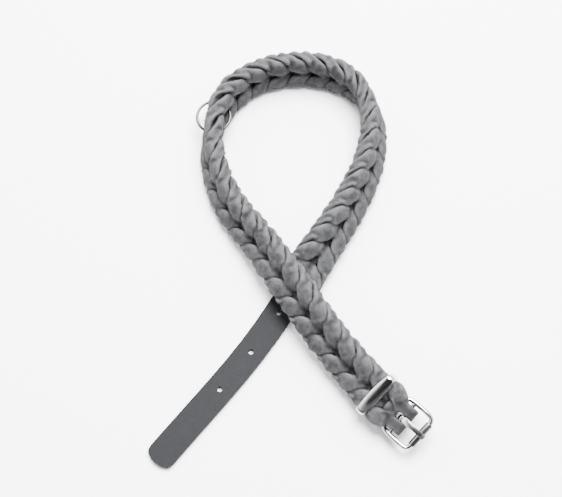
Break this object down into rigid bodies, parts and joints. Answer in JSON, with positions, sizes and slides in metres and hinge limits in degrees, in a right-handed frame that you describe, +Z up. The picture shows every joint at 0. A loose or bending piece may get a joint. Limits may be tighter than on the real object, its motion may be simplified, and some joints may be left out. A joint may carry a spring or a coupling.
{
  "type": "dog collar",
  "caption": "Braided grey leather dog collar lying as a crossed loop, with a roller buckle, a metal keeper, a leash ring and a smooth punched tail.",
  "frame": {"origin": "on the surface that the collar lies on, under the middle of its bounding box", "axes": "+Z up from the surface; +Y from the crossing towards the top of the neck loop; the buckle is at +X and the tail at -X"},
  "size_m": [0.1424, 0.222, 0.0269],
  "materials": {
    "braid_leather": "grey napped leather, matt",
    "polished_nickel": "polished nickel plate"
  },
  "bodies": {
    "collar": {"long_strap": "braid_leather", "short_strap": "braid_leather", "buckle_frame": "polished_nickel", "keeper": "polished_nickel", "leash_ring": "polished_nickel"},
    "roller": {"roller": "polished_nickel"},
    "prong": {"prong": "polished_nickel"}
  },
  "joints": [
    {"name": "roller_spin", "type": "hinge", "parent": "collar", "child": "roller", "pos_m": [0.06464, -0.09542, 0.00962], "axis": [-0.6691, -0.716, -0.1989], "continuous": true},
    {"name": "prong_swing", "type": "hinge", "parent": "collar", "child": "prong", "pos_m": [0.05594, -0.08729, 0.00962], "axis": [-0.6691, -0.716, -0.1989], "range_deg": [0, 80]}
  ]
}
